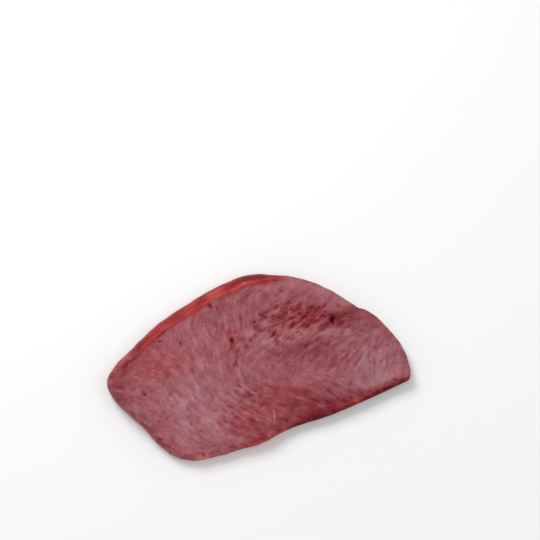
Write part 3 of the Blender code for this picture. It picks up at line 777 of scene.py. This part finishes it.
class Rim:
    """The membrane over the natural rim, by the way past the face's edge."""

    def __init__(self, crown, flank, reached, strip):
        x, y = crown.T
        self.reached = reached
        self.strip = strip
        self.here = eased(flank, *RIM_WIDTHS) * (1.0 - eased(x, *RIM_FADES))
        self.tip = eased(x, *TIP)
        self.top_end = eased(x, *TOP_END)
        self.narrower = between(x, *NARROWER)
        self.paler = sum(more * np.exp(-((x - at) / reach) ** 2) for at, reach, more in RIM_STRETCHES)
        lap = RIM_LAP + NARROW_LAP * self.narrower + eased(x, *RIGHT_LAP)
        start = np.column_stack([reached, np.zeros(len(reached))])
        lump, glint = strip.at(start, "lump", "glint")
        self.wander = LUMP_WANDER * lump + GLINT_WANDER * glint - lap
        self.lower_fat = []
        for low, high, down, strength, tone in LOWER_FAT:
            stretch = between(x, low, high, FAT_FADE) * (y < LOWER_SIDE)
            self.lower_fat.append((strength * stretch, down, tone))

    def cover_and_tone(self, number, past, share):
        """Cover of the membrane and its tone, some way past the ring's points."""
        places = np.column_stack([self.reached[number], past])
        names = ("streak", "wide_streak", "lump", "glint")
        streak, wide_streak, lump, glint = self.strip.at(places, *names)
        tip, top_end, narrower = self.tip[number], self.top_end[number], self.narrower[number]
        edge = past - self.wander[number]
        outer = eased(edge + TIP_SOONER * tip, *OUTER_SIDE)
        cover = self.here[number] * eased(edge, *RIM_EDGE)
        cover *= 1.0 - TIP_COVER * tip - OUTER_COVER * tip * outer
        middle, reach = INNER_SIDE
        inner = np.exp(-((edge - middle) / reach) ** 2) * (1.0 - tip)
        calm = 1.0 - TOP_END_CALM * top_end
        fields = {
            "streak": calm * streak, "wide_streak": calm * wide_streak, "lump": calm * lump,
            # Paler orange on the inner side, partly fat and partly painted highlight
            "inner_highlight": inner * eased(wide_streak, -1.0, 1.0),
            # Painted glints of the wet membrane
            "glint": inner * eased(glint, *GLINT_RANGE),
            "inner_end": inner * top_end,
            # Painted shade along the face's edge
            "edge_shade": np.exp(-(edge / EDGE_SHADE_REACH) ** 2),
            "foot": eased(share, *FOOT_DARKENS),
            "tip": tip, "narrower": narrower, "outer_end": top_end * outer,
        }
        tone = RIM_TONE + self.paler[number]
        return cover, tone + sum(RIM_EFFECTS[name] * field for name, field in fields.items())

    def add_lower_fat(self, masks, share, streak):
        """Lays the lower side's fat over the masks of a ring."""
        for stretch, down, tone in self.lower_fat:
            ragged = share - down + FAT_RAGGED * streak * smooth_step(share / FAT_SETS_IN)
            thinner = 1.0 - FAT_THINS * share ** 2
            cover = stretch * smooth_step(ragged / FAT_SETS_IN) * thinner
            masks["rim_tone"] = blend(stretch, masks["rim_tone"], tone)
            masks["fat"] = np.maximum(masks["fat"], cover)


def inner_points(ring, step):
    """Evenly spread points inside a ring, clear of it."""
    low, high = ring.min(axis=0), ring.max(axis=0)
    row_gap = step * math.sqrt(3.0) / 2.0
    rows = int((high[1] - low[1]) / row_gap) + 1
    columns = int((high[0] - low[0]) / step) + 2
    row, column = np.mgrid[0:rows, 0:columns].reshape(2, -1)
    x, y = low[0] + (column + 0.5 * (row % 2)) * step, low[1] + row * row_gap
    points = np.column_stack([x, y])
    points = points[is_inside(points, ring)]
    return points[nearest_on_ring(points, ring)[0] > RING_CLEARANCE * step]


def fill_ring(ring, inner):
    """Triangles between a ring's points and those inside it."""
    places = [Vector(place) for place in np.vstack([ring, inner])]
    found = delaunay_2d_cdt(places, [], [list(range(len(ring)))], INSIDE_ONLY, TOLERANCE)
    return np.array([list(face) for face in found[2]])


def flank_ring(crown, inward, flank, height, t):
    """The ring of points a share t of the way down the flank."""
    slope = eased(flank, *SLOPING_WIDTHS)
    weights = (3 * t * (1 - t) ** 2, 3 * t ** 2 * (1 - t), t ** 3)
    out, up = np.zeros(len(crown)), (1 - t) ** 3 * height
    for weight, steep, sloping in zip(weights, STEEP, SLOPING):
        widths, more, share = (blend(slope, *pair) for pair in zip(steep, sloping))
        out += weight * (widths * flank + more)
        up += weight * share * height
    return np.column_stack([crown - inward * out[:, None], up])


def face_part(crown, rim, plan):
    """Places and masks of the upper face, the crown's ring first."""
    points = np.vstack([crown, inner_points(crown, FACE_STEP)])
    to_edge, nearest = nearest_on_ring(points, crown)
    warp = np.column_stack(plan.at(points, "warp_x", "warp_y"))
    height, sunk, pitted, shade = face_form(points, warp, to_edge)
    relief, grain = plan.at(points, "relief", "grain")
    height += relief * eased(to_edge, *FACE_RELIEF)
    masks = dict(zip(COLOUR_FIELDS, plan.at(points, *COLOUR_FIELDS)))
    # Painted shade in and round the pits, slits and vessels; the red there is partly their own crimson,
    # partly painted for light that bleeds through the muscle into their shade
    masks["tone"] -= eased(pitted, *PIT_SHADE) * (1.0 + PITTED_GRAIN * grain) + eased(shade, *SHADE)
    masks["tone"] -= eased(sunk, *SUNK_SHADE) + eased(sunk, *DEEP_SUNK_SHADE)
    masks["red"] = np.maximum(masks["red"], eased(shade + sunk, *SUNK_RED))
    # Painted shade on the face along the membrane's edge
    reach, darker = CROWN_SHADE
    masks["tone"] -= darker * rim.here[nearest] * np.exp(-(to_edge / reach) ** 2)
    share = np.zeros(len(points))
    masks["rim"], masks["rim_tone"] = rim.cover_and_tone(nearest, -to_edge, share)
    return np.column_stack([points, height]), masks


def flank_parts(crown, inward, flank, reached, top, rim, plan):
    """Places, masks and way down of each ring of the flank."""
    everyone = np.arange(len(crown))
    x, y = crown.T
    right_end = eased(x, *RIGHT_WALL) * eased(y, *RIGHT_WALL_Y)
    left_end = eased(x, *LEFT_WALL)
    above, past = top, np.zeros(len(crown))
    for ring in range(1, FLANK_RINGS + 1):
        t = ring / FLANK_RINGS
        level = flank_ring(crown, inward, flank, top[:, 2], t)
        past = past + np.linalg.norm(level - above, axis=1)
        above = level.copy()
        places = np.column_stack([reached, past])
        streak, strand, lump = rim.strip.at(places, "streak", "strand", "lump")
        swell = FLANK_RELIEF * blend(rim.here, strand, streak) + LUMP_RELIEF * lump - FLANK_INSET
        level[:, :2] -= inward * (swell * math.sin(math.pi * t))[:, None]
        masks = dict(zip(COLOUR_FIELDS, plan.at(level[:, :2], *COLOUR_FIELDS)))
        masks["tone"] += FLANK_TONE * strand + LUMP_TONE * lump
        # Painted shade down the cut walls towards the floor, little on the left wall
        masks["tone"] -= blend(left_end, *WALL_SHADE) * smooth_step(t / WALL_SHADE_DOWN)
        wall = (1.0 - rim.here) * smooth_step(t / WALL_SETS_IN)
        wall_red = wall * (1.0 - right_end) * (1.0 - WALL_LESS_RED * left_end)
        masks["red"] = np.maximum(masks["red"], wall_red)
        masks["brown"] = np.maximum(masks["brown"], WALL_BROWN * wall * right_end)
        masks["film"] *= 1.0 - wall
        masks["fat"] *= 1.0 - t
        share = np.full(len(crown), t)
        masks["rim"], masks["rim_tone"] = rim.cover_and_tone(everyone, past, share)
        rim.add_lower_fat(masks, t, strand)
        yield level, masks, past


def underside_part(foot, plan):
    """Places and masks inside the ring on which the slice rests."""
    points = inner_points(foot, UNDER_STEP)
    mirrored = points * (1.0, -1.0)
    masks = dict(zip(COLOUR_FIELDS, plan.at(mirrored, *COLOUR_FIELDS)))
    masks["tone"] = BASE_TONE + UNDER_TONE + UNDER_CONTRAST * (masks["tone"] - BASE_TONE)
    masks["red"] *= UNDER_RED
    for name in ("brown", "film", "fat", "rim", "rim_tone"):
        masks[name] = np.zeros(len(points))
    dent, more = UNDER_DENTS
    dent = dent + more * np.clip(plan.at(mirrored, "relief")[0], *UNDER_RELIEF)
    dent *= smooth_step(nearest_on_ring(points, foot)[0] / UNDER_RIM)
    return np.column_stack([points, np.maximum(dent, 0.0)]), masks


def ring_triangles(upper, lower, next_upper, next_lower):
    """Corners of the two triangles of each stretch between two rings."""
    first = np.stack([upper, lower, next_lower], axis=1)
    second = np.stack([upper, next_lower, next_upper], axis=1)
    return np.concatenate([first, second])


def strip_corners(reached, above, below):
    """Map places of the same corners, in two strips side by side."""
    half = len(reached) // 2
    second = np.arange(len(reached)) >= half
    left = np.where(second, *STRIP_PLACES[::-1])
    here = reached - np.where(second, reached[half], 0.0)
    there = here + RING_STEP
    shrink = (MAP_SPAN - 2.0 * MAP_MARGIN) / (reached[half] + 2.0 * RING_STEP)
    corners = ((above, here), (below, here), (np.roll(above, -1), there), (np.roll(below, -1), there))
    return ring_triangles(*[
        np.column_stack([left + past, MAP_MARGIN + shrink * way]) for past, way in corners
    ])


def build_slice():
    """The slice as one closed mesh, with its masks and its texture map."""
    rng = np.random.default_rng(SEED + 1)
    outline, inward, flank, reached = outline_rings()
    crown = outline + inward * flank[:, None]
    count = len(crown)
    plan = face_raster(rng)
    rim = Rim(crown, flank, reached, flank_raster(reached[-1], rng))

    face, masks = face_part(crown, rim, plan)
    places, parts, ways = [face], [masks], [np.zeros(count)]
    for level, masks, past in flank_parts(crown, inward, flank, reached, face[:count], rim, plan):
        places.append(level)
        parts.append(masks)
        ways.append(past)
    foot = places[-1][:, :2]
    under, masks = underside_part(foot, plan)
    places.append(under)
    parts.append(masks)

    top = fill_ring(crown, face[count:, :2])
    faces, corners = [top], [face[top][:, :, :2] + FACE_PLACE]
    upper = np.arange(count)
    for ring in range(FLANK_RINGS):
        lower = len(face) + ring * count + np.arange(count)
        faces.append(ring_triangles(upper, lower, np.roll(upper, -1), np.roll(lower, -1)))
        corners.append(strip_corners(reached, ways[ring], ways[ring + 1]))
        upper = lower
    bottom = fill_ring(foot, under[:, :2])[:, ::-1]
    faces.append(int(upper[0]) + bottom)
    rested = np.vstack([foot, under[:, :2]])[bottom]
    corners.append(rested * (1.0, -1.0) + UNDER_PLACE)

    masks = {name: np.concatenate([part[name] for part in parts]) for name in parts[0]}
    return np.vstack(places), np.vstack(faces), masks, np.vstack(corners) / MAP_SPAN


def fit_to_frame(places):
    """In metres, with the middle of the plan at the middle of the solid's box."""
    low, high = (np.array(corner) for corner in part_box(NODE))
    middle = (places.min(axis=0) + places.max(axis=0)) / 2.0 * MM
    shift = (low + high) / 2.0 - middle
    shift[2] = low[2]
    return places * MM + shift


def new_object(name, data):
    """An object of the scene."""
    made = bpy.data.objects.new(name, data)
    bpy.context.scene.collection.objects.link(made)
    return made


def slice_piece():
    """The piece that stands for the solid."""
    places, faces, masks, corners = build_slice()
    mesh = bpy.data.meshes.new("heart_slice")
    mesh.from_pydata(fit_to_frame(places).tolist(), [], faces.tolist())
    for name, values in masks.items():
        layer = mesh.attributes.new(name, "FLOAT", "POINT")
        layer.data.foreach_set("value", np.clip(values, 0.0, 1.0).astype(np.float32))
    layer = mesh.uv_layers.new(name="OFBake")
    layer.data.foreach_set("uv", corners.ravel().astype(np.float32))
    mesh.shade_smooth()
    return new_object("heart_slice", mesh)


def linear(levels):
    """A colour in levels of 0 to 255 as the shader's linear colour."""
    shares = [level / 255.0 for level in levels]
    return (*[s / 12.92 if s <= 0.04045 else ((s + 0.055) / 1.055) ** 2.4 for s in shares], 1.0)


class Nodes:
    """Short ways to add a material's nodes."""

    def __init__(self, name):
        self.material = bpy.data.materials.new(name)
        self.material.use_nodes = True
        self.tree = self.material.node_tree
        self.shader = self.tree.nodes["Principled BSDF"]

    def link(self, source, target):
        """Joins two sockets, or sets the second to a value."""
        if isinstance(source, bpy.types.NodeSocket):
            self.tree.links.new(source, target)
        else:
            target.default_value = source

    def fill(self, node, inputs):
        """Joins or sets a node's inputs by name."""
        for name, value in inputs.items():
            self.link(value, node.inputs[name])

    def add(self, kind, **settings):
        """A new node with some settings."""
        node = self.tree.nodes.new(kind)
        for name, value in settings.items():
            setattr(node, name, value)
        return node

    def mask(self, name):
        """A mask kept on the mesh's points."""
        return self.add("ShaderNodeAttribute", attribute_name=name).outputs["Fac"]

    def noise(self, size, turn=0.0):
        """Noise about 0, with the size of its grains along each axis."""
        coords = self.add("ShaderNodeTexCoord").outputs["Object"]
        mapping = self.add("ShaderNodeMapping", vector_type="TEXTURE")
        scale = [length * MM for length in size]
        rotation = (0.0, 0.0, math.radians(turn))
        self.fill(mapping, {"Vector": coords, "Scale": scale, "Rotation": rotation})
        node = self.add("ShaderNodeTexNoise")
        self.fill(node, {"Vector": mapping.outputs["Vector"], "Scale": 1.0})
        return self.math("SUBTRACT", node.outputs["Fac"], 0.5)

    def math(self, operation, *values):
        """A sum on two or three values."""
        node = self.add("ShaderNodeMath", operation=operation)
        for value, socket in zip(values, node.inputs):
            self.link(value, socket)
        return node.outputs["Value"]

    def ramp(self, value, stops):
        """The colour of a value between a few stops."""
        node = self.add("ShaderNodeValToRGB")
        elements = node.color_ramp.elements
        while len(elements) < len(stops):
            elements.new(0.5)
        for element, (place, *levels) in zip(elements, stops):
            element.position = place
            element.color = linear(levels)
        self.link(value, node.inputs["Fac"])
        return node.outputs["Color"]

    def mix(self, share, first, second):
        """One colour over another by a share of 0 to 1."""
        node = self.add("ShaderNodeMix", data_type="RGBA")
        self.fill(node, {"Factor": share, 6: first, 7: second})
        return node.outputs[2]


def hairs(n):
    """Fine noise along the strands, blended from four directions."""
    run_x = n.math("MULTIPLY_ADD", n.mask("run_x"), 2.0, -1.0)
    run_y = n.math("MULTIPLY_ADD", n.mask("run_y"), 2.0, -1.0)
    total = 0.0
    for turn, run, sign in ((0, run_x, 1), (45, run_y, 1), (90, run_x, -1), (135, run_y, -1)):
        weight = n.math("MAXIMUM", n.math("MULTIPLY", run, sign), 0.0)
        total = n.math("MULTIPLY_ADD", n.noise(HAIR_SIZE, turn), weight, total)
    strength = n.math("MULTIPLY_ADD", n.mask("tousled"), TOUSLED_HAIR, HAIR_STRENGTH)
    return n.math("MULTIPLY", total, strength)


def muscle_material():
    """Raw heart muscle with its membrane, fat and dark pits."""
    n = Nodes("heart_muscle")
    hair = hairs(n)
    speck = n.noise(SPECK_SIZE)
    cloud = n.noise(CLOUD_SIZE)
    tone = n.math("MULTIPLY_ADD", hair, HAIR_TONE, n.mask("tone"))
    tone = n.math("MULTIPLY_ADD", speck, SPECK_TONE, tone)
    tone = n.math("MULTIPLY_ADD", cloud, CLOUD_TONE, tone)
    colour = n.ramp(tone, TONES)
    red = n.math("MULTIPLY", n.mask("red"), n.math("MULTIPLY_ADD", cloud, CLOUD_ON_RED, 1.0))
    red = n.math("ADD", red, n.math("MULTIPLY", cloud, CLOUD_RED))
    colour = n.mix(red, colour, n.ramp(tone, RED_TONES))
    rim_tone = n.math("MULTIPLY_ADD", speck, RIM_SPECK, n.mask("rim_tone"))
    rim_tone = n.math("MULTIPLY_ADD", cloud, RIM_CLOUD, rim_tone)
    for name, value, stops in (
        ("brown", tone, BROWN_TONES), ("film", tone, FILM_TONES),
        ("rim", rim_tone, RIM_TONES), ("fat", rim_tone, FAT_TONES),
    ):
        colour = n.mix(n.mask(name), colour, n.ramp(value, stops))

    rough = n.math("MULTIPLY_ADD", n.mask("rim"), RIM_ROUGH, ROUGHNESS)
    rough = n.math("MULTIPLY_ADD", speck, SPECK_ROUGH, rough)
    bump = n.add("ShaderNodeBump")
    height = n.math("MULTIPLY_ADD", speck, SPECK_BUMP, hair)
    n.fill(bump, {"Strength": 0.6, "Distance": 0.0003, "Height": height})
    n.fill(n.shader, {
        "Base Color": colour, "Roughness": rough, "Normal": bump.outputs["Normal"],
        "Specular IOR Level": 0.06, "Subsurface Weight": 0.25,
        "Subsurface Radius": (1.0, 0.32, 0.26), "Subsurface Scale": 0.0016,
    })
    return n.material


def floor():
    """Plain pale floor."""
    mesh = bpy.data.meshes.new("floor")
    form = bmesh.new()
    bmesh.ops.create_grid(form, x_segments=1, y_segments=1, size=FLOOR_REACH)
    form.to_mesh(mesh)
    form.free()
    n = Nodes("floor")
    n.fill(n.shader, {"Base Color": linear(FLOOR_WHITE), "Roughness": 0.9})
    mesh.materials.append(n.material)
    ground = new_object("floor", mesh)
    ground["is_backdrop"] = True


def area_light(name, place, size, power):
    """Soft square light that faces the slice."""
    data = bpy.data.lights.new(name, "AREA")
    data.shape = "SQUARE"
    data.size = size
    data.energy = power
    lamp = new_object(name, data)
    lamp.location = place
    lamp.rotation_euler = (-Vector(place)).to_track_quat("-Z", "Y").to_euler()


def light_and_camera():
    """Soft studio light, and the camera."""
    turn = math.radians(VIEW_TURN)
    right = Vector((math.cos(turn), math.sin(turn), 0.0))
    away = Vector((-math.sin(turn), math.cos(turn), 0.0))
    for name, to_right, to_away, up, size, power in LIGHTS:
        area_light(name, to_right * right + to_away * away + Vector((0, 0, up)), size, power)
    world = bpy.data.worlds.new("studio")
    world.use_nodes = True
    inputs = world.node_tree.nodes["Background"].inputs
    inputs["Color"].default_value = (1.0, 1.0, 1.0, 1.0)
    inputs["Strength"].default_value = WORLD_STRENGTH
    bpy.context.scene.world = world
    bpy.context.scene.view_settings.view_transform = "Standard"
    data = bpy.data.cameras.new("camera")
    data.lens = LENS
    camera = new_object("camera", data)
    camera.location = VIEW_PLACE
    camera.rotation_euler = (math.radians(VIEW_TILT), 0.0, turn)
    bpy.context.scene.camera = camera


def write_sizes():
    """Works out the solid's box and the dressed slice's box."""
    for low, high in (CAD_BOX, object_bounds()):
        f"{[round(v, 6) for v in (*low, *high)]}\n"


def main():
    piece = slice_piece()
    piece.data.materials.append(muscle_material())
    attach(piece, "root")
    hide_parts(NODE)
    floor()
    light_and_camera()
    write_sizes()


main()
